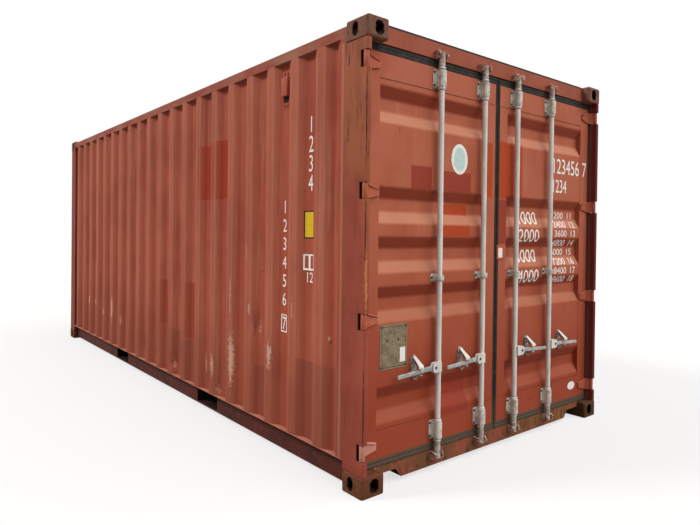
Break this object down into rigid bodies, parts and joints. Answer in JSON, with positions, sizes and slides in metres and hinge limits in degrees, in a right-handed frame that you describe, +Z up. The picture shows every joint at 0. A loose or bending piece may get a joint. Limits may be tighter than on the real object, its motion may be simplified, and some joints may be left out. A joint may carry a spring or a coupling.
{
  "type": "shipping container",
  "caption": "Corrugated steel freight container with corner castings, fork pockets, a plywood floor and two hinged end doors, each locked by upright bars with handles.",
  "frame": {"origin": "centre of the underside of the bottom corner castings", "axes": "+X along the length towards the doors, +Y towards the right door seen from outside the doors, +Z up"},
  "size_m": [6.058, 2.438, 2.591],
  "materials": {
    "wall_paint": "weathered",
    "casting_paint": "rusty",
    "underbody_paint": "matte",
    "zinc_steel": "dull",
    "gasket_rubber": "matte",
    "plate_aluminium": "dirty",
    "plywood": "oiled"
  },
  "bodies": {
    "container": {"bottom_corner_castings": "casting_paint", "top_corner_castings": "casting_paint", "rear_posts": "wall_paint", "front_posts": "wall_paint", "bottom_side_rails": "underbody_paint", "top_side_rails": "wall_paint", "front_bottom_rail": "wall_paint", "front_top_rail": "wall_paint", "door_header": "wall_paint", "door_sill": "wall_paint", "cross_members": "underbody_paint", "fork_pockets": "underbody_paint", "floor_panels": "plywood", "front_wall": "wall_paint", "left_side_wall": "wall_paint", "right_side_wall": "wall_paint", "roof_sheet": "wall_paint", "ventilators": "wall_paint", "header_keepers": "wall_paint", "sill_keepers": "wall_paint", "hinge_pins": "wall_paint"},
    "left_door": {"left_door_stiles": "wall_paint", "left_door_rails": "wall_paint", "left_door_panel": "wall_paint", "left_door_gasket": "gasket_rubber", "left_door_hinges": "wall_paint", "left_door_bar_brackets": "zinc_steel", "left_door_handle_retainers": "zinc_steel", "data_plate": "plate_aluminium"},
    "right_door": {"right_door_stiles": "wall_paint", "right_door_rails": "wall_paint", "right_door_panel": "wall_paint", "right_door_gasket": "gasket_rubber", "right_door_hinges": "wall_paint", "right_door_bar_brackets": "zinc_steel", "right_door_handle_retainers": "zinc_steel", "overlap_plate": "wall_paint"},
    "left_outer_locking_bar": {"left_outer_bar": "zinc_steel", "left_outer_cams": "zinc_steel", "left_outer_handle": "zinc_steel"},
    "left_inner_locking_bar": {"left_inner_bar": "zinc_steel", "left_inner_cams": "zinc_steel", "left_inner_handle": "zinc_steel"},
    "right_outer_locking_bar": {"right_outer_bar": "zinc_steel", "right_outer_cams": "zinc_steel", "right_outer_handle": "zinc_steel"},
    "right_inner_locking_bar": {"right_inner_bar": "zinc_steel", "right_inner_cams": "zinc_steel", "right_inner_handle": "zinc_steel"}
  },
  "joints": [
    {"name": "left_door_swing", "type": "hinge", "parent": "container", "child": "left_door", "pos_m": [3.002, -1.197, 1.2955], "axis": [0, 0, -1], "range_deg": [0, 260]},
    {"name": "left_outer_bar_turn", "type": "hinge", "parent": "left_door", "child": "left_outer_locking_bar", "pos_m": [2.993, -0.594, 1.2955], "axis": [0, 0, -1], "range_deg": [-100, 0]},
    {"name": "left_inner_bar_turn", "type": "hinge", "parent": "left_door", "child": "left_inner_locking_bar", "pos_m": [2.993, -0.179, 1.2955], "axis": [0, 0, -1], "range_deg": [-100, 0]},
    {"name": "right_door_swing", "type": "hinge", "parent": "container", "child": "right_door", "pos_m": [3.002, 1.197, 1.2955], "axis": [0, 0, 1], "range_deg": [0, 260]},
    {"name": "right_outer_bar_turn", "type": "hinge", "parent": "right_door", "child": "right_outer_locking_bar", "pos_m": [2.993, 0.594, 1.2955], "axis": [0, 0, 1], "range_deg": [-100, 0]},
    {"name": "right_inner_bar_turn", "type": "hinge", "parent": "right_door", "child": "right_inner_locking_bar", "pos_m": [2.993, 0.179, 1.2955], "axis": [0, 0, 1], "range_deg": [-100, 0]}
  ]
}
